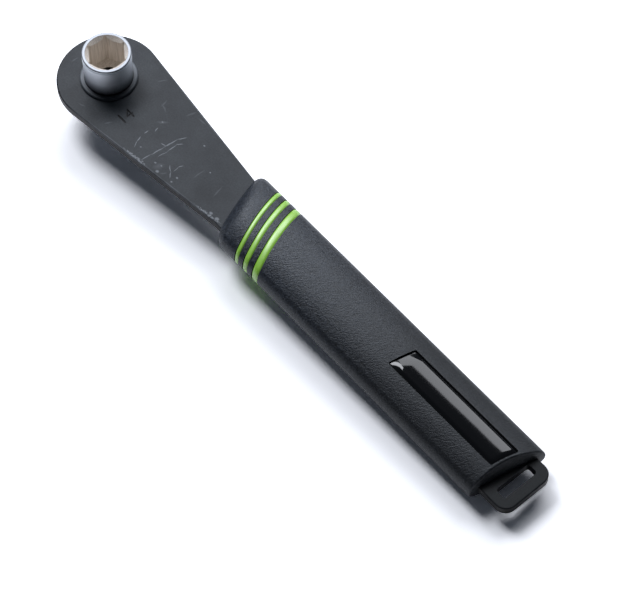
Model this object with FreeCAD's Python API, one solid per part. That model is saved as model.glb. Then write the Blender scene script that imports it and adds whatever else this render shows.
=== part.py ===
import FreeCAD, Part
import math
import os
from FreeCAD import Vector

os.makedirs("parts", exist_ok=True)

# Crank-bolt wrench: a flat steel lever with a double-ended hex socket through its round head,
# a soft sleeve moulded on the tang, three green rings in grooves, a resin badge in a recess,
# and the end of the lever left bare as a hanging loop.
# Millimetres. X runs from the socket to the loop, Z is the socket's axis with the 14 mm
# mouth up, and the origin is on that axis in the middle of the lever's thickness.

# Lever: one stamped plate with a drawn collar round the socket's seat
plate_thickness = 4.0
head_radius = 21.3
bare_length = 80.4
neck_inside = 0.6
neck_width = 23.8
loop_reach = 11.7
loop_width = 25.0
loop_corner_radius = 5.0
plate_edge_round = 0.5
slot_length = 16.4
slot_width = 4.8
loop_bar = 4.8
slot_corner_radius = 1.0
collar_diameter = 23.7
collar_height = 1.3
collar_round = 0.9

# Double-ended socket: one turned and broached piece
socket_diameter = 20.0
socket_base_diameter = 19.6
socket_height = 17.2
seat_diameter = 20.0
top_hex = 14.15
bottom_hex = 15.15
hex_clocking = 25.4
web_thickness = 8.4
web_hole_diameter = 7.4
corner_relief_radius = 0.75
corner_relief_inset = 0.45
mouth_chamfer = 0.55
rim_outer_chamfer = 0.35
rim_groove_drop = 1.1
rim_groove_width = 0.4
rim_groove_depth = 0.2

# Grip: soft sleeve of oval section
grip_half_width = 16.4
grip_half_height = 8.8
grip_side_radius = 6.0
grip_length = 156.0
front_slant = 0.34
rear_slant = 0.21
nose_half_height = 3.7
nose_length = 8.6
nose_corner_radius = 4.6
rear_crown = 2.2
crown_over = 1.0
rear_rim_round = 0.7

# Rings: three widths, each in its own groove, at set distances behind the grip's front
band_setbacks = (13.0, 18.0, 23.8)
band_widths = (2.3, 2.8, 3.6)
band_names = ("green_band_front", "green_band_middle", "green_band_rear")
band_drop = 0.35
groove_depth = 1.5

# Badge: domed resin label in a recess near the rear end
recess_front_setback = 60.5
recess_rear_wall = 1.0
recess_width = 12.0
recess_centre_y = 0.8
recess_depth = 1.3
recess_corner_radius = 0.8
badge_thickness = 1.1
badge_edge_round = 0.45

# Clearances between pieces that fit together
press_gap = 0.02
sleeve_gap = 0.05
ring_gap = 0.05
badge_side_gap = 0.25
badge_glue_gap = 0.05

# Sections that form the nose: degrees round its corner, then shares of the rest of its length
corner_steps = (0, 15, 30, 45, 60, 75, 90)
shoulder_steps = (0.35, 0.7, 1.0)
arc_points = 8

half_plate = plate_thickness / 2
rim_z = half_plate + socket_height
grip_front_x = bare_length
grip_rear_x = grip_front_x + grip_length
neck_x = grip_front_x + neck_inside
loop_end_x = grip_rear_x + loop_reach
recess_front_x = grip_rear_x - recess_front_setback
over = 10.0


def line(a, b):
    return Part.LineSegment(Vector(*a), Vector(*b)).toShape()


def arc(a, b, c):
    return Part.Arc(Vector(*a), Vector(*b), Vector(*c)).toShape()


def prism(wire, vector):
    return Part.Face(wire).extrude(vector)


def rounded_polygon(points, radius, z):
    """Closed outline through the points, each corner an arc of the given radius."""
    edges = []
    ends = []
    count = len(points)
    for i in range(count):
        here = Vector(points[i][0], points[i][1], z)
        before = Vector(points[i - 1][0], points[i - 1][1], z)
        after = Vector(points[(i + 1) % count][0], points[(i + 1) % count][1], z)
        to_before = (before - here).normalize()
        to_after = (after - here).normalize()
        half_angle = to_before.getAngle(to_after) / 2
        reach = radius / math.tan(half_angle)
        start = here + to_before * reach
        end = here + to_after * reach
        bisector = (to_before + to_after).normalize()
        middle = here + bisector * (radius / math.sin(half_angle) - radius)
        edges.append(Part.Arc(start, middle, end).toShape())
        ends.append((start, end))
    for i in range(count):
        edges.append(Part.LineSegment(ends[i][1], ends[(i + 1) % count][0]).toShape())
    return Part.Wire(Part.__sortEdges__(edges))


def plate_wire(margin, z):
    """Lever outline: round head, straight tapering sides to the neck, tang and rounded loop end."""
    radius = head_radius + margin
    neck = neck_width / 2 + margin
    side = loop_width / 2 + margin
    corner = loop_corner_radius + margin
    end_x = loop_end_x + margin
    tangent = math.atan2(neck, neck_x) + math.acos(radius / math.hypot(neck_x, neck))
    touch = (radius * math.cos(tangent), radius * math.sin(tangent))
    swing = corner * (1 - math.sqrt(0.5))
    edges = [
        arc((touch[0], touch[1], z), (-radius, 0, z), (touch[0], -touch[1], z)),
        line((touch[0], -touch[1], z), (neck_x, -neck, z)),
        line((neck_x, -neck, z), (end_x - corner, -side, z)),
        arc((end_x - corner, -side, z), (end_x - swing, -side + swing, z), (end_x, -side + corner, z)),
        line((end_x, -side + corner, z), (end_x, side - corner, z)),
        arc((end_x, side - corner, z), (end_x - swing, side - swing, z), (end_x - corner, side, z)),
        line((end_x - corner, side, z), (neck_x, neck, z)),
        line((neck_x, neck, z), (touch[0], touch[1], z)),
    ]
    return Part.Wire(edges)


def make_plate():
    """Lever plate with its rounded edges, the collar, the socket's seat and the hanging slot."""
    plate = prism(plate_wire(0, -half_plate), Vector(0, 0, plate_thickness))
    rims = [e for e in plate.Edges if abs(e.BoundBox.ZLength) < 0.001]
    plate = plate.makeFillet(plate_edge_round, rims)
    collar = Part.makeCylinder(collar_diameter / 2, half_plate + collar_height)
    collar_rim = [e for e in collar.Edges if e.BoundBox.ZMin > half_plate]
    plate = plate.fuse(collar.makeFillet(collar_round, collar_rim))
    seat = Part.makeCylinder(seat_diameter / 2, plate_thickness + 2 * over, Vector(0, 0, -half_plate - over))
    slot_far = loop_end_x - loop_bar - slot_width
    slot_near = loop_end_x - loop_bar
    corners = [
        (slot_far, -slot_length / 2),
        (slot_near, -slot_length / 2),
        (slot_near, slot_length / 2),
        (slot_far, slot_length / 2),
    ]
    slot = prism(
        rounded_polygon(corners, slot_corner_radius, -half_plate - over),
        Vector(0, 0, plate_thickness + 2 * over),
    )
    return plate.cut(seat).cut(slot)


def hex_pocket(across_flats, z_low, z_high):
    """Hexagonal pocket with a round relief along each corner."""
    corner_radius = across_flats / 2 / math.cos(math.pi / 6)
    angles = [math.radians(hex_clocking + 60 * k) for k in range(6)]
    points = [Vector(corner_radius * math.cos(a), corner_radius * math.sin(a), z_low) for a in angles]
    pocket = prism(Part.makePolygon(points + points[:1]), Vector(0, 0, z_high - z_low))
    relief_at = corner_radius - corner_relief_inset
    reliefs = [
        Part.makeCylinder(
            corner_relief_radius,
            z_high - z_low,
            Vector(relief_at * math.cos(a), relief_at * math.sin(a), z_low),
        )
        for a in angles
    ]
    return pocket.fuse(reliefs)


def mouth_cone(across_flats, sign):
    """Lead-in cone at a mouth: widest at the rim, closing to the hexagon's flats."""
    corner_radius = across_flats / 2 / math.cos(math.pi / 6)
    wide = corner_radius + mouth_chamfer
    narrow = across_flats / 2
    depth = wide - narrow
    start = sign * rim_z
    return Part.makeCone(wide, narrow, depth, Vector(0, 0, start), Vector(0, 0, -sign))


def make_socket():
    """Turned body with its seat, cut by the two hexagonal pockets and the web's hole."""
    rim = socket_diameter / 2
    base = socket_base_diameter / 2
    seat = seat_diameter / 2 - press_gap
    collar_top = half_plate + collar_height
    groove_top = rim_z - rim_groove_drop
    groove_low = groove_top - rim_groove_width
    outline = [
        line((0, 0, rim_z), (rim - rim_outer_chamfer, 0, rim_z)),
        line((rim - rim_outer_chamfer, 0, rim_z), (rim, 0, rim_z - rim_outer_chamfer)),
        line((rim, 0, rim_z - rim_outer_chamfer), (rim, 0, groove_top)),
        line((rim, 0, groove_top), (rim - rim_groove_depth, 0, groove_top)),
        line((rim - rim_groove_depth, 0, groove_top), (rim - rim_groove_depth, 0, groove_low)),
        line((rim - rim_groove_depth, 0, groove_low), (rim, 0, groove_low)),
        line((rim, 0, groove_low), (base, 0, collar_top)),
        line((base, 0, collar_top), (seat, 0, collar_top)),
        line((seat, 0, collar_top), (seat, 0, -half_plate)),
        line((seat, 0, -half_plate), (base, 0, -half_plate)),
        line((base, 0, -half_plate), (rim, 0, -groove_low)),
        line((rim, 0, -groove_low), (rim - rim_groove_depth, 0, -groove_low)),
        line((rim - rim_groove_depth, 0, -groove_low), (rim - rim_groove_depth, 0, -groove_top)),
        line((rim - rim_groove_depth, 0, -groove_top), (rim, 0, -groove_top)),
        line((rim, 0, -groove_top), (rim, 0, -rim_z + rim_outer_chamfer)),
        line((rim, 0, -rim_z + rim_outer_chamfer), (rim - rim_outer_chamfer, 0, -rim_z)),
        line((rim - rim_outer_chamfer, 0, -rim_z), (0, 0, -rim_z)),
        line((0, 0, -rim_z), (0, 0, rim_z)),
    ]
    body = Part.Face(Part.Wire(outline)).revolve(Vector(0, 0, 0), Vector(0, 0, 1), 360)
    top = hex_pocket(top_hex, web_thickness / 2, rim_z + over)
    bottom = hex_pocket(bottom_hex, -rim_z - over, -web_thickness / 2)
    web_hole = Part.makeCylinder(web_hole_diameter / 2, 2 * rim_z, Vector(0, 0, -rim_z))
    return body.cut([top, bottom, mouth_cone(top_hex, 1), mouth_cone(bottom_hex, -1), web_hole])


def oval_arcs(half_width, half_height, side_radius):
    """Centre, radius and end angles of the oval's four tangent arcs, in the YZ plane."""
    side_centre = half_width - side_radius
    flat_radius = (side_centre**2 + half_height**2 - side_radius**2) / (2 * (half_height - side_radius))
    flat_centre = half_height - flat_radius
    lean = math.atan2(-flat_centre, side_centre)
    return [
        (side_centre, 0, side_radius, -lean, lean),
        (0, flat_centre, flat_radius, lean, math.pi - lean),
        (-side_centre, 0, side_radius, math.pi - lean, math.pi + lean),
        (0, -flat_centre, flat_radius, math.pi + lean, 2 * math.pi - lean),
    ]


def oval_wire(half_width, half_height, side_radius, x):
    """Upright oval of four tangent arcs: tight at the sides, flat above and below."""
    edges = []
    for cy, cz, radius, start, end in oval_arcs(half_width, half_height, side_radius):
        ends = [start, (start + end) / 2, end]
        edges.append(arc(*[(x, cy + radius * math.cos(a), cz + radius * math.sin(a)) for a in ends]))
    return Part.Wire(edges)


def leaning_oval(half_width, half_height, side_radius, x):
    """The same oval seen along X, drawn as smooth curves in the plane x - front_slant * y."""
    edges = []
    for cy, cz, radius, start, end in oval_arcs(half_width, half_height, side_radius):
        angles = [start + (end - start) * k / arc_points for k in range(arc_points + 1)]
        shares = [k / arc_points for k in range(arc_points + 1)]
        points = []
        tangents = []
        for a in angles:
            y = cy + radius * math.cos(a)
            points.append(Vector(x - front_slant * y, y, cz + radius * math.sin(a)))
            step = radius * (end - start)
            tangents.append(Vector(front_slant * math.sin(a), -math.sin(a), math.cos(a)) * step)
        curve = Part.BSplineCurve()
        curve.interpolate(
            Points=points,
            Parameters=shares,
            InitialTangent=tangents[0],
            FinalTangent=tangents[-1],
            Scale=False,
        )
        edges.append(curve.toShape())
    return Part.Wire(edges)


def oval_bar(inset, x_low, x_high):
    """Straight bar of the grip's oval, taken in by inset all round."""
    wire = oval_wire(
        grip_half_width - inset,
        grip_half_height - inset,
        grip_side_radius - inset,
        x_low,
    )
    return prism(wire, Vector(x_high - x_low, 0, 0))


def slanted_slab(centre_x, width, slant):
    """Upright slab between two parallel planes that cross the grip at the given slant."""
    reach = grip_half_width + over
    height = grip_half_height + over
    low = centre_x - width / 2
    high = centre_x + width / 2
    points = [
        Vector(low + slant * reach, -reach, -height),
        Vector(high + slant * reach, -reach, -height),
        Vector(high - slant * reach, reach, -height),
        Vector(low - slant * reach, reach, -height),
    ]
    return prism(Part.makePolygon(points + points[:1]), Vector(0, 0, 2 * height))


def make_blank():
    """Sleeve without its rear end: the nose's section grows from the lip to the full oval."""
    flat_rise = grip_half_height - nose_half_height
    shoulder = (nose_length**2 + flat_rise**2) / (2 * flat_rise)
    corner = nose_corner_radius
    stations = [
        (corner * (1 - math.cos(math.radians(a))), corner * (1 - math.sin(math.radians(a))))
        for a in corner_steps
    ]
    stations += [(corner + (nose_length - corner) * share, 0.0) for share in shoulder_steps]
    wires = []
    for behind, round_in in stations:
        ahead = nose_length - behind
        half_height = grip_half_height - shoulder + math.sqrt(shoulder**2 - ahead**2)
        half_width = grip_half_width - round_in
        side_radius = grip_side_radius * half_height / grip_half_height
        wires.append(leaning_oval(half_width, half_height, side_radius, grip_front_x + behind))
    nose = Part.makeLoft(wires, True, False)
    if nose.Volume < 0:
        nose.reverse()
    straight = prism(wires[-1], Vector(grip_rear_x + 2 * over - grip_front_x - nose_length, 0, 0))
    return nose.fuse(straight)


def crowned_slab():
    """Everything ahead of the sleeve's rear end, which bulges a little and crosses at its own slant."""
    reach = grip_half_width + over
    tall = grip_half_height + crown_over
    crown_radius = (grip_half_height**2 + rear_crown**2) / (2 * rear_crown)
    sag = crown_radius - math.sqrt(crown_radius**2 - tall**2)
    middle = grip_rear_x - rear_slant * reach
    front = grip_front_x - 3 * over
    edges = [
        line((front, -reach, -tall), (middle - sag, -reach, -tall)),
        arc((middle - sag, -reach, -tall), (middle, -reach, 0), (middle - sag, -reach, tall)),
        line((middle - sag, -reach, tall), (front, -reach, tall)),
        line((front, -reach, tall), (front, -reach, -tall)),
    ]
    return prism(Part.Wire(edges), Vector(2 * rear_slant * reach, 2 * reach, 0))


def make_sleeve_blank():
    """Whole sleeve without its grooves: nose, straight oval and crowned, slanted rear end."""
    blank = make_blank().common(crowned_slab())
    rear_edges = [e for e in blank.Edges if e.BoundBox.XMin > grip_rear_x - 2 * over]
    return blank.makeFillet(rear_rim_round, rear_edges)


def badge_outline(side_gap, z):
    """Parallelogram whose ends run with the sleeve's slanted rear end."""
    low = recess_centre_y - recess_width / 2 + side_gap
    high = recess_centre_y + recess_width / 2 - side_gap
    front = recess_front_x + side_gap
    rear = grip_rear_x - rear_crown - recess_rear_wall - side_gap
    points = [
        (front + rear_slant * low, low),
        (rear + rear_slant * low, low),
        (rear + rear_slant * high, high),
        (front + rear_slant * high, high),
    ]
    return rounded_polygon(points, recess_corner_radius, z)


def make_grip():
    """Sleeve with the tang's cavity, the ring grooves and the badge's recess."""
    cavity = prism(
        plate_wire(sleeve_gap, -half_plate - sleeve_gap),
        Vector(0, 0, plate_thickness + 2 * sleeve_gap),
    )
    grip = make_sleeve_blank().cut(cavity)
    groove_floor = oval_bar(groove_depth, grip_front_x - over, grip_rear_x + over)
    for setback, width in zip(band_setbacks, band_widths):
        groove = slanted_slab(grip_front_x + setback, width, front_slant)
        grip = grip.cut(groove.cut(groove_floor))
    recess_floor = oval_bar(recess_depth, grip_front_x - over, grip_rear_x + over)
    recess = prism(badge_outline(0, 0), Vector(0, 0, grip_half_height + over))
    return grip.cut(recess.cut(recess_floor))


def make_band(setback, width):
    """Green ring that fills its groove's width and stays a little below the sleeve's surface."""
    x_low = grip_front_x - over
    x_high = grip_rear_x + over
    ring = oval_bar(band_drop, x_low, x_high).cut(oval_bar(groove_depth - ring_gap, x_low, x_high))
    return ring.common(slanted_slab(grip_front_x + setback, width - 2 * ring_gap, front_slant))


def make_badge():
    """Resin badge that follows the recess's floor, with a rounded top edge."""
    x_low = recess_front_x - over
    x_high = grip_rear_x + over
    top_inset = recess_depth - badge_glue_gap - badge_thickness
    layer = oval_bar(top_inset, x_low, x_high).cut(oval_bar(recess_depth - badge_glue_gap, x_low, x_high))
    badge = prism(badge_outline(badge_side_gap, 0), Vector(0, 0, grip_half_height + over)).common(layer)
    tops = [f for f in badge.Faces if f.normalAt(0.5, 0.5).z > 0.8 and f.Area > recess_width]
    highest = max(tops, key=lambda f: f.BoundBox.ZMax)
    return badge.makeFillet(badge_edge_round, highest.Edges)


def save(name, shape):
    solids = shape.Solids
    result = solids[0] if len(solids) == 1 else Part.Compound(solids)
    box = result.BoundBox
    print(
        f"{name}: solids {len(solids)}, valid {result.isValid()}, volume {result.Volume:.1f},"
        f" x {box.XMin:.2f} {box.XMax:.2f}, y {box.YMin:.2f} {box.YMax:.2f}, z {box.ZMin:.2f} {box.ZMax:.2f}"
    )
    result.exportStep(f"parts/{name}.step")


save("blade", make_plate())
save("socket", make_socket())
save("grip", make_grip())
for band_name, band_setback, band_width in zip(band_names, band_setbacks, band_widths):
    save(band_name, make_band(band_setback, band_width))
save("badge", make_badge())
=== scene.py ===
import math

import bmesh
import bpy
import numpy as np
from mathutils import Matrix


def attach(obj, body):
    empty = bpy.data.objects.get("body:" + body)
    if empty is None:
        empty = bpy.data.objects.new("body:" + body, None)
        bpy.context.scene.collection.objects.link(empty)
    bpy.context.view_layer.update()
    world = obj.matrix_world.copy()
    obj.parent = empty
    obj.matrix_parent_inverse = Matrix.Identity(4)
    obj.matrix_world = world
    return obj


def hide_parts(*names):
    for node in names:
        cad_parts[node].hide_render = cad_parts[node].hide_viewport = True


# Crank-bolt wrench on a white studio floor. Metres, in the solids' own frame: X from the socket
# to the hanging loop, Z along the socket's axis with the 14 mm mouth up.

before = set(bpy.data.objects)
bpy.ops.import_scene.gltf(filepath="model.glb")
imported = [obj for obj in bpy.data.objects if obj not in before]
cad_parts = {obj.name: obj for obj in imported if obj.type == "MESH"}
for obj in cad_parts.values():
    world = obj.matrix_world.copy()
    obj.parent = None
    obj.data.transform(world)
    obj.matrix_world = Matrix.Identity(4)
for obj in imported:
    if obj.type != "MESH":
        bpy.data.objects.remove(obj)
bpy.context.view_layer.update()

# The camera looks down on the wrench from beside the lever, 1.1 m away, through a long lens.
# It was fitted to the outlines that the photograph shows.
camera_data = bpy.data.cameras.new("camera")
camera_data.sensor_width = 36.0
camera_data.lens = 158.55
camera_data.clip_end = 20.0
camera = bpy.data.objects.new("camera", camera_data)
bpy.context.scene.collection.objects.link(camera)
right = (0.65450065, 0.75606025, 0.00133689)
up = (-0.65057992, 0.56228658, 0.51046995)
back = (0.38519433, -0.33497267, 0.85989455)
turn = Matrix((right, up, back)).transposed()
camera_place = (0.548452, -0.365041, 0.927302)
camera.matrix_world = Matrix.Translation(camera_place) @ turn.to_4x4()
bpy.context.scene.camera = camera

# The lever is one plate of stamped steel, blackened by an oxide bath. Its face is a dark, slightly
# cloudy satin, and knocks and sliding bolts have left bright scratches and bare edges on it.
mm = 0.001
# Height of the plate's upper face in millimetres, and the angle past which an edge shades sharp.
upper_face = 2.0
crease = math.radians(50)


def colour(code):
    """sRGB hex code to linear RGBA."""
    channels = [int(code[i : i + 2], 16) / 255 for i in (0, 2, 4)]
    linear = [c / 12.92 if c <= 0.04045 else ((c + 0.055) / 1.055) ** 2.4 for c in channels]
    return (*linear, 1.0)


def node(tree, kind, settings=None, links=None):
    """Adds a node, sets its attributes and inputs, and links sockets into its inputs."""
    new = tree.nodes.new(kind)
    for key, value in (settings or {}).items():
        if isinstance(key, str) and hasattr(new, key):
            setattr(new, key, value)
        else:
            new.inputs[key].default_value = value
    for key, socket in (links or {}).items():
        tree.links.new(socket, new.inputs[key])
    return new


def material(name):
    """New node material: returns it, its tree, its Principled shader and its object coordinates."""
    made = bpy.data.materials.new(name)
    made.use_nodes = True
    tree = made.node_tree
    tree.nodes.clear()
    shader = tree.nodes.new("ShaderNodeBsdfPrincipled")
    output = tree.nodes.new("ShaderNodeOutputMaterial")
    tree.links.new(shader.outputs["BSDF"], output.inputs["Surface"])
    return made, tree, shader, tree.nodes.new("ShaderNodeTexCoord").outputs["Object"]


def ramp(tree, source, stops):
    """Colour ramp over a value: stops are (position, grey value or RGBA)."""
    new = node(tree, "ShaderNodeValToRGB", links={"Fac": source})
    elements = new.color_ramp.elements
    while len(elements) < len(stops):
        elements.new(0.5)
    for element, (position, value) in zip(elements, stops):
        element.position = position
        element.color = value if isinstance(value, tuple) else (value, value, value, 1.0)
    return new.outputs["Color"]


def stroke(tree, coords, start, end, width):
    """Mask of one long thin mark on the upper face: an ellipsoid about the middle of start-end.

    It is 1 at the ellipsoid's centre and falls evenly to 0 at its surface, 1 mm above and below.
    """
    middle = [(a + b) / 2 * mm for a, b in zip(start, end)]
    run = math.hypot(end[0] - start[0], end[1] - start[1])
    angle = math.atan2(end[1] - start[1], end[0] - start[0])
    placed = node(
        tree,
        "ShaderNodeMapping",
        {
            "vector_type": "TEXTURE",
            "Location": (*middle, upper_face * mm),
            "Rotation": (0.0, 0.0, angle),
            "Scale": (run / 2 * mm, width / 2 * mm, 1.0 * mm),
        },
        {"Vector": coords},
    )
    ball = node(
        tree,
        "ShaderNodeTexGradient",
        {"gradient_type": "SPHERICAL"},
        {"Vector": placed.outputs["Vector"]},
    )
    return ball.outputs["Fac"]


def most(tree, values):
    """Largest of several values."""
    best = values[0]
    for value in values[1:]:
        larger = node(tree, "ShaderNodeMath", {"operation": "MAXIMUM"}, {0: best, 1: value})
        best = larger.outputs["Value"]
    return best


def welded(name):
    """Copy of a solid's mesh with its shared corners joined, as a bmesh."""
    copy = bmesh.new()
    copy.from_mesh(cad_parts[name].data)
    bmesh.ops.remove_doubles(copy, verts=copy.verts, dist=1e-6)
    return copy


def face_out(mesh, join=False):
    """Turns a closed mesh's faces outwards, and first joins its shared corners where asked."""
    shell = bmesh.new()
    shell.from_mesh(mesh)
    if join:
        bmesh.ops.remove_doubles(shell, verts=shell.verts, dist=1e-6)
    bmesh.ops.recalc_face_normals(shell, faces=shell.faces)
    shell.to_mesh(mesh)
    shell.free()


def piece(name, mesh, made, *solids):
    """Object for a finished mesh, with its material, standing for the named solids."""
    new = bpy.data.objects.new(name, mesh)
    bpy.context.scene.collection.objects.link(new)
    mesh.materials.clear()
    mesh.materials.append(made)
    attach(new, "root")
    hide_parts(*solids)
    return new


# Straight scratches as (start, end, width) in millimetres on the upper face.
scratches = [
    ((39.3, -15.9), (40.0, -10.3), 0.55),
    ((39.8, -11.7), (40.9, -3.9), 0.6),
    ((40.6, -5.7), (41.3, 2.5), 0.55),
    ((41.0, 1.2), (43.2, 5.5), 0.5),
    ((42.6, -9.9), (43.2, -4.2), 0.38),
    ((42.9, -5.5), (43.1, 0.5), 0.48),
    ((42.5, -0.6), (44.6, 2.4), 0.5),
    ((38.2, -4.5), (41.0, -3.7), 0.42),
    ((40.6, -4.2), (41.4, -1.7), 0.42),
    ((33.0, -14.1), (31.2, -10.3), 0.38),
    ((31.6, -11.4), (30.6, -8.1), 0.48),
    ((53.7, -12.6), (51.3, -9.6), 0.48),
    ((51.9, -10.3), (48.3, -8.1), 0.4),
    ((52.1, -9.4), (51.6, -6.0), 0.4),
    ((51.5, -6.9), (52.6, -4.3), 0.5),
    ((30.5, -6.7), (30.5, -4.1), 0.6),
    ((32.7, -2.8), (31.6, -0.4), 0.5),
]
# Faint rubbed streaks, given in the same way.
scuffs = [
    ((71.5, -5.6), (70.0, 1.3), 0.9),
    ((59.5, -5.9), (59.5, 1.3), 0.8),
    ((34.7, 11.0), (36.2, 16.5), 1.1),
    ((38.7, 14.5), (43.6, 15.0), 0.9),
    ((24.8, 6.2), (23.9, 11.1), 0.9),
    ((23.4, 7.9), (28.7, 6.6), 0.9),
    ((16.1, -16.0), (18.0, -12.4), 1.0),
    ((-16.0, -6.9), (-15.9, -2.9), 0.9),
    ((1.6, -17.3), (5.2, -16.1), 0.9),
    ((49.2, -14.2), (51.2, -11.2), 0.8),
    ((45.0, -14.5), (47.5, -9.5), 3.2),
    ((29.0, 0.5), (33.0, 4.5), 1.6),
    ((-13.0, 9.0), (-9.0, 14.0), 1.0),
    ((14.0, 13.0), (16.5, 17.5), 1.0),
]
# Small dents as (place, length). Each is a little slanted, and 0.8 times as wide as it is long.
pit_slant, pit_width = 0.3, 0.8
pits = [
    ((47.8, -14.1), 1.9),
    ((44.1, -12.1), 1.1),
    ((46.8, -11.2), 1.1),
    ((34.5, -11.7), 1.0),
    ((55.2, -10.2), 1.2),
    ((55.2, -13.0), 1.1),
    ((50.6, 7.7), 1.0),
    ((62.0, 1.3), 1.0),
    ((30.8, 2.4), 1.0),
    ((76.6, -10.6), 2.0),
    ((80.3, -10.5), 2.2),
]
blackened, tree, shader, coords = material("blackened_steel")
cloud = node(
    tree,
    "ShaderNodeTexNoise",
    {"Scale": 1 / (14 * mm), "Detail": 5.0, "Roughness": 0.6},
    {"Vector": coords},
)
speck = node(tree, "ShaderNodeTexNoise", {"Scale": 1 / (0.7 * mm), "Detail": 3.0}, {"Vector": coords})
# Every mark wavers by up to half a millimetre, so that none runs quite straight.
sway = node(tree, "ShaderNodeTexNoise", {"Scale": 1 / (3 * mm), "Detail": 2.0}, {"Vector": coords})
centred = node(
    tree,
    "ShaderNodeVectorMath",
    {"operation": "SUBTRACT", 1: (0.5, 0.5, 0.5)},
    {0: sway.outputs["Color"]},
)
bent = node(
    tree,
    "ShaderNodeVectorMath",
    {"operation": "MULTIPLY_ADD", 1: (0.9 * mm, 0.9 * mm, 0.0)},
    {0: centred.outputs["Vector"], 2: coords},
).outputs["Vector"]
marks = [stroke(tree, bent, start, end, width) for start, end, width in scratches]
marks += [
    stroke(tree, bent, (x - size / 2, y), (x + size / 2, y + pit_slant), size * pit_width)
    for (x, y), size in pits
]
scratched = ramp(tree, most(tree, marks), [(0.02, 0.0), (0.55, 0.92)])
rubs = [stroke(tree, bent, start, end, width) for start, end, width in scuffs]
dusty = ramp(tree, most(tree, rubs), [(0.0, 0.0), (0.7, 0.2)])
# The plate's edges are rubbed bare just behind the head and by the sleeve.
rubbed = [
    stroke(tree, bent, (29.5, -17.2), (45.0, -15.5), 1.9),
    stroke(tree, bent, (68.0, -12.9), (84.0, -10.6), 1.5),
    stroke(tree, bent, (70.0, 14.5), (84.0, 12.3), 1.2),
]
grit = ramp(tree, speck.outputs["Fac"], [(0.42, 0.0), (0.6, 1.0)])
bare = node(
    tree, "ShaderNodeMath", {"operation": "MULTIPLY"}, {0: most(tree, rubbed), 1: grit}
).outputs["Value"]
bare = ramp(tree, bare, [(0.03, 0.0), (0.3, 1.0)])
# The drawn collar's crest is painted paler, a painted highlight where the light catches it, and painted
# shade takes it dark again on the side towards the size mark. The crest lies within these distances from
# the axis and heights.
crest_rim, crest_full = 12.2, 11.2
crest_foot, crest_top = 2.05, 2.5
to_shaded_front, shade_reach = (0.83, -0.56, 0.0), 8
place_on = node(tree, "ShaderNodeSeparateXYZ", links={"Vector": coords}).outputs
on_plane = node(
    tree,
    "ShaderNodeVectorMath",
    {"operation": "MULTIPLY", 1: (1.0, 1.0, 0.0)},
    {0: coords},
).outputs["Vector"]
from_axis = node(tree, "ShaderNodeVectorMath", {"operation": "LENGTH"}, {0: on_plane})
near = node(
    tree,
    "ShaderNodeMapRange",
    {"From Min": crest_rim * mm, "From Max": crest_full * mm},
    {"Value": from_axis.outputs["Value"]},
).outputs["Result"]
raised = node(
    tree,
    "ShaderNodeMapRange",
    {"From Min": crest_foot * mm, "From Max": crest_top * mm},
    {"Value": place_on["Z"]},
).outputs["Result"]
crest = node(
    tree, "ShaderNodeMath", {"operation": "MULTIPLY"}, {0: near, 1: raised}
).outputs["Value"]
towards_shaded_front = node(
    tree,
    "ShaderNodeVectorMath",
    {"operation": "DOT_PRODUCT", 1: to_shaded_front},
    {0: coords},
).outputs["Value"]
# Painted shade: the crest's painted highlight fades out towards the size mark.
out_of_shade = node(
    tree,
    "ShaderNodeMapRange",
    {"From Min": 0.0, "From Max": shade_reach * mm, "To Min": 1.0, "To Max": 0.05},
    {"Value": towards_shaded_front},
).outputs["Result"]
crest = node(
    tree, "ShaderNodeMath", {"operation": "MULTIPLY"}, {0: crest, 1: out_of_shade}
).outputs["Value"]
# A thin pale line runs along both straight edges of the lever, stronger in some places: partly rubbed
# wear, partly a painted highlight on the rounded edges.
edge_lines = [
    stroke(tree, coords, (-6.0, -22.2), (90.0, -10.9), 1.7),
    stroke(tree, coords, (-6.0, 22.2), (90.0, 10.9), 1.7),
]
edge = ramp(tree, most(tree, edge_lines), [(0.02, 0.0), (0.3, 1.0)])
patchy = ramp(tree, cloud.outputs["Fac"], [(0.35, 0.12), (0.65, 0.6)])
edge = node(
    tree, "ShaderNodeMath", {"operation": "MULTIPLY"}, {0: edge, 1: patchy}
).outputs["Value"]
# Scratches, scuffs and bare edges, together with the painted highlight on the collar's crest and the
# edges.
wear_and_highlight = most(tree, [scratched, dusty, bare, crest, edge])
# The lever's black runs darker from the head towards the hanging loop.
lighter_until, darker_from = 100, 200
loop = node(
    tree,
    "ShaderNodeMapRange",
    {"From Min": lighter_until * mm, "From Max": darker_from * mm},
    {"Value": place_on["X"]},
).outputs["Result"]
lever_black = ramp(tree, cloud.outputs["Fac"], [(0.32, colour("292d32")), (0.68, colour("353a3f"))])
oxide_and_shade = node(
    tree, "ShaderNodeMix", {"data_type": "RGBA", 7: colour("161a1d")}, {0: loop, 6: lever_black}
).outputs[2]
mottle = ramp(tree, speck.outputs["Fac"], [(0.3, 0.82), (0.7, 1.18)])
oxide_and_shade = node(
    tree, "ShaderNodeVectorMath", {"operation": "MULTIPLY"}, {0: oxide_and_shade, 1: mottle}
).outputs["Vector"]
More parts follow.
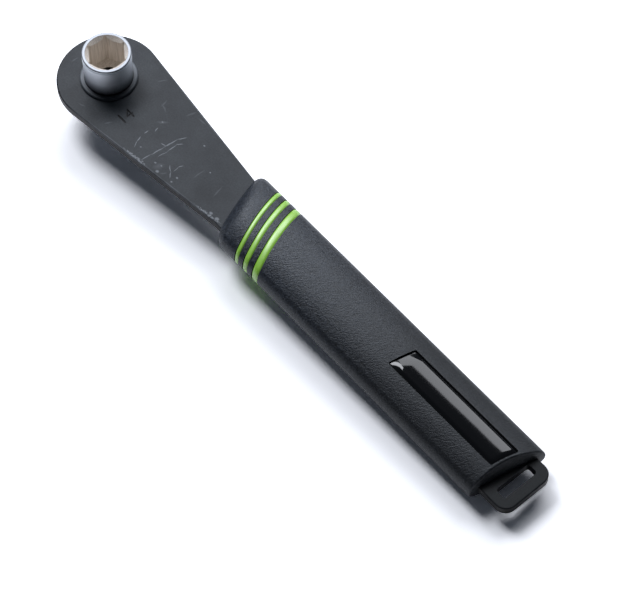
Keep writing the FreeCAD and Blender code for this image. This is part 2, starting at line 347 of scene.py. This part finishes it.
# The sheared side of the plate and the floor of the struck digits are painted darker, painted shade.
shaded_below, unshaded_above = 1.65, 1.97
level = node(tree, "ShaderNodeMath", {"operation": "ABSOLUTE"}, {0: place_on["Z"]})
shade = node(
    tree,
    "ShaderNodeMapRange",
    {"From Min": shaded_below * mm, "From Max": unshaded_above * mm, "To Min": 0.12},
    {"Value": level.outputs["Value"]},
).outputs["Result"]
oxide_and_shade = node(
    tree, "ShaderNodeVectorMath", {"operation": "SCALE"}, {0: oxide_and_shade, "Scale": shade}
).outputs["Vector"]
base = node(
    tree, "ShaderNodeMix", {"data_type": "RGBA", 7: colour("7b8086")}, {0: wear_and_highlight, 6: oxide_and_shade}
).outputs[2]
tree.links.new(base, shader.inputs["Base Color"])
rough = ramp(tree, cloud.outputs["Fac"], [(0.3, 0.42), (0.7, 0.36)])
tree.links.new(rough, shader.inputs["Roughness"])
shader.inputs["Specular IOR Level"].default_value = 0.2
skin = node(
    tree, "ShaderNodeMath", {"operation": "SUBTRACT"}, {0: speck.outputs["Fac"], 1: wear_and_highlight}
).outputs["Value"]
bump = node(tree, "ShaderNodeBump", {"Strength": 0.25, "Distance": 0.04 * mm}, {"Height": skin})
tree.links.new(bump.outputs["Normal"], shader.inputs["Normal"])

# The size mark is struck into the upper face beside the socket: plain digits, 4.9 mm tall, with
# their tops towards the head.
digit_height, digits_width, digit_depth = 4.9, 5.7, 0.35
digits_foot = (21.5, -9.2)
font = bpy.data.curves.new("size_mark", "FONT")
font.body = "14"
font.extrude = 1.0
cutter = bpy.data.objects.new("size_mark", font)
bpy.context.scene.collection.objects.link(cutter)
graph = bpy.context.evaluated_depsgraph_get()
digits = bpy.data.meshes.new_from_object(cutter.evaluated_get(graph))
bpy.data.objects.remove(cutter)
corners = np.array([vertex.co[:] for vertex in digits.vertices])
low, high = corners.min(axis=0), corners.max(axis=0)
grown = np.array([digits_width, digit_height, 2 * digit_depth]) * mm / (high - low)
foot = Matrix.Translation((digits_foot[0] * mm, digits_foot[1] * mm, upper_face * mm))
upright = Matrix.Rotation(math.radians(90), 4, "Z") @ Matrix.Diagonal((*grown, 1.0))
digits.transform(foot @ upright @ Matrix.Translation((-low[0], -low[1], 0.0)))
face_out(digits, join=True)
cutter = bpy.data.objects.new("size_mark", digits)
bpy.context.scene.collection.objects.link(cutter)

# The lever is drawn again from its solid's mesh, joined at the shared corners, and the digits are
# then cut out of it.
plate = welded("blade")
lever_mesh = bpy.data.meshes.new("lever")
plate.to_mesh(lever_mesh)
plate.free()
lever = piece("lever", lever_mesh, blackened, "blade")
cut = lever.modifiers.new("size_mark", "BOOLEAN")
cut.operation = "DIFFERENCE"
cut.solver = "EXACT"
cut.object = cutter
graph = bpy.context.evaluated_depsgraph_get()
struck = bpy.data.meshes.new_from_object(lever.evaluated_get(graph))
lever.modifiers.clear()
lever.data = struck
struck.materials.clear()
struck.materials.append(blackened)
struck.shade_smooth()
bpy.data.objects.remove(cutter)
# Level faces, upright sides and rounded edges each keep their own normals, so flats shade flat.
level_tilt, upright_tilt = 0.9999, 0.0001
finished = bmesh.new()
finished.from_mesh(struck)
for edge in finished.edges:
    tilts = [abs(face.normal.z) for face in edge.link_faces]
    kinds = {(tilt > level_tilt) - (tilt < upright_tilt) for tilt in tilts}
    edge.smooth = len(kinds) == 1 and edge.calc_face_angle(0.0) < crease
finished.to_mesh(struck)
finished.free()

# The socket is turned from steel and nickel plated: a satin mirror with fine turning lines, bright
# towards its rims, and its colour painted dark at its foot, painted shade. The broached pockets are
# bare, dull and warm with old oil.
plated, tree, shader, coords = material("nickel_plated_steel")
# How far the pockets reach from the axis and from the socket's middle, in millimetres, and the
# heights between which the painted shade in the web's hole gives way to a pocket's bare floor.
pocket_reach, pocket_top = 8.69, 19.15
web_shaded, web_unshaded = 3.9, 4.15
parts = node(tree, "ShaderNodeSeparateXYZ", links={"Vector": coords}).outputs
flat = node(
    tree,
    "ShaderNodeVectorMath",
    {"operation": "MULTIPLY", 1: (1.0, 1.0, 0.0)},
    {0: coords},
).outputs["Vector"]
radius = node(tree, "ShaderNodeVectorMath", {"operation": "LENGTH"}, {0: flat}).outputs["Value"]
depth = node(tree, "ShaderNodeMath", {"operation": "ABSOLUTE"}, {0: parts["Z"]}).outputs["Value"]
within = node(
    tree, "ShaderNodeMath", {"operation": "LESS_THAN", 1: pocket_reach * mm}, {0: radius}
).outputs["Value"]
below = node(
    tree, "ShaderNodeMath", {"operation": "LESS_THAN", 1: pocket_top * mm}, {0: depth}
).outputs["Value"]
pocket = node(
    tree, "ShaderNodeMath", {"operation": "MULTIPLY"}, {0: within, 1: below}
).outputs["Value"]
drawn = node(
    tree,
    "ShaderNodeVectorMath",
    {"operation": "MULTIPLY", 1: (1.0, 1.0, 0.06)},
    {0: coords},
).outputs["Vector"]
broached = node(tree, "ShaderNodeTexNoise", {"Scale": 1 / (0.5 * mm), "Detail": 4.0}, {"Vector": drawn})
dull = ramp(tree, broached.outputs["Fac"], [(0.3, colour("d6cdc3")), (0.7, colour("faf2e8"))])
# The plating's colour by height, with painted shade near black at the foot and a little darker at the
# very rim: each place is a share of 20 mm from the socket's middle.
height_share = node(
    tree, "ShaderNodeMath", {"operation": "DIVIDE", 1: 20 * mm}, {0: depth}
).outputs["Value"]
plating_and_shade = ramp(
    tree,
    height_share,
    [
        (0.168, colour("141517")),
        (0.26, colour("8e939a")),
        (0.5, colour("d8dde4")),
        (0.93, colour("dfe4eb")),
        (0.945, colour("94989e")),
    ],
)
# The hole through the web is painted dark, painted shade for its unlit inside.
web = node(
    tree,
    "ShaderNodeMapRange",
    {"From Min": web_shaded * mm, "From Max": web_unshaded * mm},
    {"Value": depth},
).outputs["Result"]
dull = node(
    tree, "ShaderNodeMix", {"data_type": "RGBA", 6: colour("1b1917")}, {0: web, 7: dull}
).outputs[2]
base = node(
    tree, "ShaderNodeMix", {"data_type": "RGBA"}, {0: pocket, 6: plating_and_shade, 7: dull}
).outputs[2]
tree.links.new(base, shader.inputs["Base Color"])
bright = node(
    tree, "ShaderNodeMapRange", {"To Min": 1.0, "To Max": 0.0}, {"Value": pocket}
).outputs["Result"]
tree.links.new(bright, shader.inputs["Metallic"])
rough = node(
    tree, "ShaderNodeMapRange", {"To Min": 0.46, "To Max": 0.5}, {"Value": pocket}
).outputs["Result"]
tree.links.new(rough, shader.inputs["Roughness"])
# The turning lines depend only on the radius and the height, so they run round the axis.
profile = node(tree, "ShaderNodeCombineXYZ", links={"X": radius, "Z": parts["Z"]}).outputs["Vector"]
turned = node(tree, "ShaderNodeTexNoise", {"Scale": 1 / (0.25 * mm), "Detail": 3.0}, {"Vector": profile})
bump = node(
    tree,
    "ShaderNodeBump",
    {"Strength": 0.05, "Distance": 0.01 * mm},
    {"Height": turned.outputs["Fac"]},
)
tree.links.new(bump.outputs["Normal"], shader.inputs["Normal"])


def dress(name, made):
    """Gives a solid its material."""
    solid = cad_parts[name]
    solid.data.materials.clear()
    solid.data.materials.append(made)


dress("socket", plated)

# The sleeve is a soft moulding in dull near-black rubber. Its mould is etched with a leather-like
# grain of short wavy wrinkles about 0.6 mm apart, which break its highlight into fine streaks.
soft, tree, shader, coords = material("soft_moulding")
grain_turn = math.radians(49)
run = node(
    tree,
    "ShaderNodeMapping",
    {
        "vector_type": "TEXTURE",
        "Rotation": (0.0, 0.0, grain_turn),
        "Scale": (1.7 * mm, 0.6 * mm, 0.9 * mm),
    },
    {"Vector": coords},
).outputs["Vector"]
wrinkle = node(
    tree,
    "ShaderNodeTexNoise",
    {"Scale": 1.0, "Detail": 3.0, "Roughness": 0.6, "Distortion": 0.6},
    {"Vector": run},
)
pores = node(tree, "ShaderNodeTexNoise", {"Scale": 1 / (0.36 * mm), "Detail": 2.0}, {"Vector": coords})
height = node(
    tree,
    "ShaderNodeMath",
    {"operation": "MULTIPLY_ADD", 1: 0.6},
    {0: pores.outputs["Fac"], 2: wrinkle.outputs["Fac"]},
).outputs["Value"]
bump = node(tree, "ShaderNodeBump", {"Strength": 0.75, "Distance": 0.24 * mm}, {"Height": height})
tree.links.new(bump.outputs["Normal"], shader.inputs["Normal"])
skin = ramp(tree, height, [(0.6, colour("07080b")), (1.0, colour("2c3139"))])
# Dust and rubbed grain tops leave pale flecks under a millimetre across.
dust = node(
    tree,
    "ShaderNodeTexNoise",
    {"Scale": 1 / (0.8 * mm), "Detail": 4.0, "Roughness": 0.7},
    {"Vector": coords},
)
flecks = ramp(tree, dust.outputs["Fac"], [(0.56, 0.0), (0.72, 0.5)])
# From near the lever to the rear, the sleeve's colour is painted from bright to dark, a painted sheen,
# and its pale dust flecks thin out the same way.
front_until, rear_from = 95, 180
along_sleeve = node(tree, "ShaderNodeSeparateXYZ", links={"Vector": coords}).outputs["X"]
sheen_and_dust = node(
    tree,
    "ShaderNodeMapRange",
    {"From Min": front_until * mm, "From Max": rear_from * mm, "To Min": 1.6, "To Max": 0.35},
    {"Value": along_sleeve},
).outputs["Result"]
flecks = node(
    tree, "ShaderNodeMath", {"operation": "MULTIPLY"}, {0: flecks, 1: sheen_and_dust}
).outputs["Value"]
skin = node(
    tree, "ShaderNodeVectorMath", {"operation": "SCALE"}, {0: skin, "Scale": sheen_and_dust}
).outputs["Vector"]
skin = node(
    tree, "ShaderNodeMix", {"data_type": "RGBA", 7: colour("484e59")}, {0: flecks, 6: skin}
).outputs[2]
tree.links.new(skin, shader.inputs["Base Color"])
rough = node(
    tree,
    "ShaderNodeMapRange",
    {"From Min": front_until * mm, "From Max": rear_from * mm, "To Min": 0.335, "To Max": 0.45},
    {"Value": along_sleeve},
).outputs["Result"]
tree.links.new(rough, shader.inputs["Roughness"])
shader.inputs["Specular IOR Level"].default_value = 0.46
shader.inputs["Specular Tint"].default_value = (0.91, 0.955, 1.0, 1.0)
dress("grip", soft)

# The three rings are green silicone rubber, each crowned across its width and sunk in its groove.
# The rubber is satin and a little translucent, so it stays bright in its own shade.
grip_front_x = 80.4
half_width, half_height, side_radius = 16.4, 8.8, 6.0
side_centre = half_width - side_radius
flat_radius = (side_centre**2 + half_height**2 - side_radius**2) / (2 * (half_height - side_radius))
front_slant = 0.34
ring_gap, groove_depth = 0.05, 1.5
crown_edge = 0.5
crown_points, back_points, round_points = 21, 5, 288
# Each ring as (name, solid, setback from the sleeve's front, width of its groove).
rings = [
    ("ring_front", "green_band_front", 13.0, 2.3),
    ("ring_middle", "green_band_middle", 18.0, 2.8),
    ("ring_rear", "green_band_rear", 23.8, 3.6),
]


def oval(angle, inset):
    """(y, z) of the sleeve's oval taken in by inset, at the given direction of its outward normal.

    Four tangent arcs: the point is the arc's centre plus (radius - inset) along the normal.
    """
    flat_centre = flat_radius - half_height
    on_side = np.abs(np.cos(angle)) > math.cos(math.atan2(flat_centre, side_centre))
    centre_y = np.where(on_side, np.sign(np.cos(angle)) * side_centre, 0.0)
    centre_z = np.where(on_side, 0.0, -np.sign(np.sin(angle)) * flat_centre)
    reach = np.where(on_side, side_radius, flat_radius) - inset
    return centre_y + reach * np.cos(angle), centre_z + reach * np.sin(angle)


def tube_mesh(name, points):
    """Closed mesh from a grid of points (rows, columns, 3) in millimetres that joins up both ways."""
    rows, columns = points.shape[:2]
    index = np.arange(rows * columns).reshape(rows, columns)
    after = np.roll(index, -1, axis=0)
    quads = np.stack([index, after, np.roll(after, -1, axis=1), np.roll(index, -1, axis=1)], axis=-1)
    mesh = bpy.data.meshes.new(name)
    mesh.from_pydata((points.reshape(-1, 3) * mm).tolist(), [], quads.reshape(-1, 4).tolist())
    mesh.shade_smooth()
    return mesh


green, tree, shader, coords = material("green_silicone")
bloom = node(tree, "ShaderNodeTexNoise", {"Scale": 1 / (1.5 * mm), "Detail": 4.0}, {"Vector": coords})
tint = ramp(tree, bloom.outputs["Fac"], [(0.3, colour("98d93c")), (0.7, colour("a6e24b"))])
tree.links.new(tint, shader.inputs["Base Color"])
shader.inputs["Roughness"].default_value = 0.42
shader.inputs["Specular IOR Level"].default_value = 1.0
shader.inputs["Coat Weight"].default_value = 1.0
shader.inputs["Coat Roughness"].default_value = 0.37
shader.inputs["Coat IOR"].default_value = 1.65
shader.inputs["Subsurface Weight"].default_value = 0.1
shader.inputs["Subsurface Radius"].default_value = (0.6 * mm, 1.0 * mm, 0.2 * mm)
shader.inputs["Subsurface Scale"].default_value = 1.0
fine = node(tree, "ShaderNodeTexNoise", {"Scale": 1 / (0.3 * mm), "Detail": 2.0}, {"Vector": coords})
bump = node(
    tree,
    "ShaderNodeBump",
    {"Strength": 0.1, "Distance": 0.03 * mm},
    {"Height": fine.outputs["Fac"]},
)
tree.links.new(bump.outputs["Normal"], shader.inputs["Normal"])
for name, solid, setback, width in rings:
    # Section: a crown from edge to edge on the outside, and a flat back in the groove.
    half = width / 2 - ring_gap
    share = np.linspace(-1, 1, crown_points)
    inset_out = crown_edge * np.abs(share) ** 3
    across = np.concatenate([half * share, half * np.linspace(1, -1, back_points)])
    inset = np.concatenate([inset_out, np.full(back_points, groove_depth - ring_gap)])
    angle = np.linspace(0, 2 * math.pi, round_points, endpoint=False)
    y, z = oval(angle[:, None], inset[None, :])
    x = grip_front_x + setback + across[None, :] - front_slant * y
    mesh = tube_mesh(name, np.stack([x, y, z], axis=-1))
    face_out(mesh)
    mesh.set_sharp_from_angle(angle=crease)
    piece(name, mesh, green, solid)

# The badge is a plain black label under a poured dome of clear resin, glued into its recess. The
# resin pulls up into a low dome whose rim rolls down steeply, and it mirrors the lamp.
resin, tree, shader, coords = material("poured_resin")
shader.inputs["Base Color"].default_value = colour("101113")
shader.inputs["Roughness"].default_value = 0.1
ripple = node(tree, "ShaderNodeTexNoise", {"Scale": 1 / (9 * mm), "Detail": 1.0}, {"Vector": coords})
bump = node(
    tree,
    "ShaderNodeBump",
    {"Strength": 0.1, "Distance": 0.3 * mm},
    {"Height": ripple.outputs["Fac"]},
)
tree.links.new(bump.outputs["Normal"], shader.inputs["Normal"])
recess_centre_y, recess_width = 0.8, 12.0
rear_slant = 0.21
badge_front, badge_rear = 176.2, 232.95
badge_side_gap, corner_radius = 0.3, 0.9
dome_top, dome_rim = -0.1, 0.7
side_roll, front_swell, front_roll, rear_roll = 2.0, 3.0, 5.5, 2.2
badge_back = 1.25
stations, points_across = 121, 41


def top_arc(y, inset):
    """Height of the sleeve's flat upper arc, taken in by inset, at a distance y from its middle."""
    return half_height - flat_radius + np.sqrt((flat_radius - inset) ** 2 - y**2)


# Stations crowd towards both ends, and at each the width shrinks by the corner's arc.
length, width = badge_rear - badge_front, recess_width - 2 * badge_side_gap
along = length / 2 * np.sin(np.linspace(-1, 1, stations) * math.pi / 2)
to_end = np.minimum(length / 2 - np.abs(along), corner_radius)
shrink = corner_radius - np.sqrt(corner_radius**2 - (corner_radius - to_end) ** 2)
share = np.sin(np.linspace(-1, 1, points_across) * math.pi / 2)
half = width / 2 - shrink
y_top = half[:, None] * share[None, :]
# The dome falls by the square of how far a point has come into the rim's roll, each way.
# The sides' roll widens towards the front, where the resin has run rounder.
end_roll = np.where(along < 0, front_roll, rear_roll)
into_end = np.clip(1 - (length / 2 - np.abs(along)) / end_roll, 0, 1)[:, None]
side_reach = side_roll + front_swell * into_end * (along < 0)[:, None]
into_side = np.clip(1 - (width / 2 - np.abs(y_top)) / side_reach, 0, 1)
fall = 1 - (1 - into_side**2) * (1 - into_end**2)
inset = dome_top + (dome_rim - dome_top) * fall
# The flat back runs home across every fourth point.
y_back = y_top[:, ::-4]
y_all = np.concatenate([y_top, y_back], axis=1)
inset_all = np.concatenate([inset, np.full(y_back.shape, badge_back)], axis=1)
y_at = y_all + recess_centre_y
x_at = (badge_front + badge_rear) / 2 + along[:, None] + rear_slant * y_at
points = np.stack([x_at, y_at, top_arc(y_at, inset_all)], axis=-1)
rows, columns = points.shape[:2]
index = np.arange(rows * columns).reshape(rows, columns)
beside = np.roll(index, -1, axis=1)
quads = np.stack([index[:-1], index[1:], beside[1:], beside[:-1]], axis=-1).reshape(-1, 4)
ends = [index[0].tolist(), index[-1][::-1].tolist()]
mesh = bpy.data.meshes.new("label")
mesh.from_pydata((points.reshape(-1, 3) * mm).tolist(), [], quads.tolist() + ends)
face_out(mesh)
mesh.shade_smooth()
mesh.set_sharp_from_angle(angle=crease)
piece("label", mesh, resin, "badge")

# The floor is white paper, on the plane where the socket's lower rim and the sleeve's underside
# rest. To the camera and in reflections its colour is past white, so only the shadow shows on it.
slope, reach = 0.0466, 6.0
rest_x, rest_z = 0.010, -0.0192
mirrored_white, seen_white = (1.25, 1.25, 1.27, 1.0), (1.7, 1.7, 1.72, 1.0)
floor_mesh = bpy.data.meshes.new("floor")
corners = [
    (rest_x + sx * reach, sy * reach, rest_z + slope * sx * reach)
    for sx, sy in ((-1, -1), (1, -1), (1, 1), (-1, 1))
]
floor_mesh.from_pydata(corners, [], [(0, 1, 2, 3)])
floor = bpy.data.objects.new("floor", floor_mesh)
bpy.context.scene.collection.objects.link(floor)
paper = bpy.data.materials.new("white_paper")
paper.use_nodes = True
tree = paper.node_tree
tree.nodes.clear()
rays = node(tree, "ShaderNodeLightPath").outputs
mirrored = most(tree, [rays["Is Glossy Ray"], rays["Is Transmission Ray"]])
white = node(
    tree,
    "ShaderNodeMix",
    {"data_type": "RGBA", 6: colour("f0f1f3"), 7: mirrored_white},
    {0: mirrored},
)
white = node(
    tree,
    "ShaderNodeMix",
    {"data_type": "RGBA", 7: seen_white},
    {0: rays["Is Camera Ray"], 6: white.outputs[2]},
)
sheet = node(tree, "ShaderNodeBsdfDiffuse", links={"Color": white.outputs[2]})
node(tree, "ShaderNodeOutputMaterial", links={"Surface": sheet.outputs["BSDF"]})
floor_mesh.materials.append(paper)

# Light: two soft boxes high on the far side, a broad one behind the wrench and a smaller one beyond
# the head, with a weak sky all round. The camera sees the sky as white.
middle = (0.11, 0.0, 0.0)
lamp_distance = 1.7
lamp_tint = (0.965, 0.99, 1.05)
weak_sky, white_sky = (0.033, 0.038, 0.047, 1.0), (1.0, 1.0, 1.0, 1.0)


def softbox(name, position, target, size, power, tint):
    """Rectangular area light at a position, facing the target."""
    data = bpy.data.lights.new(name, "AREA")
    data.shape = "RECTANGLE"
    data.size, data.size_y = size
    data.energy = power
    data.color = tint
    lamp = bpy.data.objects.new(name, data)
    away = np.array(position) - np.array(target)
    away = away / np.linalg.norm(away)
    across = np.cross((0.0, 0.0, 1.0), away)
    across = across / np.linalg.norm(across)
    over = np.cross(away, across)
    turn = Matrix([tuple(across), tuple(over), tuple(away)]).transposed()
    lamp.matrix_world = Matrix.Translation(position) @ turn.to_4x4()
    bpy.context.scene.collection.objects.link(lamp)


def place(azimuth, elevation, distance):
    """Point at a distance from the wrench's middle, by azimuth from +X and elevation in degrees."""
    a, e = math.radians(azimuth), math.radians(elevation)
    step = (math.cos(e) * math.cos(a), math.cos(e) * math.sin(a), math.sin(e))
    return tuple(m + distance * s for m, s in zip(middle, step))


softbox("broad_softbox", place(126, 43, lamp_distance), middle, (1.40, 1.00), 18.4, lamp_tint)
softbox("far_softbox", place(177, 51, lamp_distance), middle, (0.55, 0.85), 15.5, lamp_tint)
world = bpy.data.worlds.new("studio")
world.use_nodes = True
tree = world.node_tree
seen = node(tree, "ShaderNodeLightPath").outputs["Is Camera Ray"]
sky = node(tree, "ShaderNodeMix", {"data_type": "RGBA", 6: weak_sky, 7: white_sky}, {0: seen})
tree.links.new(sky.outputs[2], tree.nodes["Background"].inputs["Color"])
bpy.context.scene.world = world
bpy.context.scene.view_settings.view_transform = "Standard"
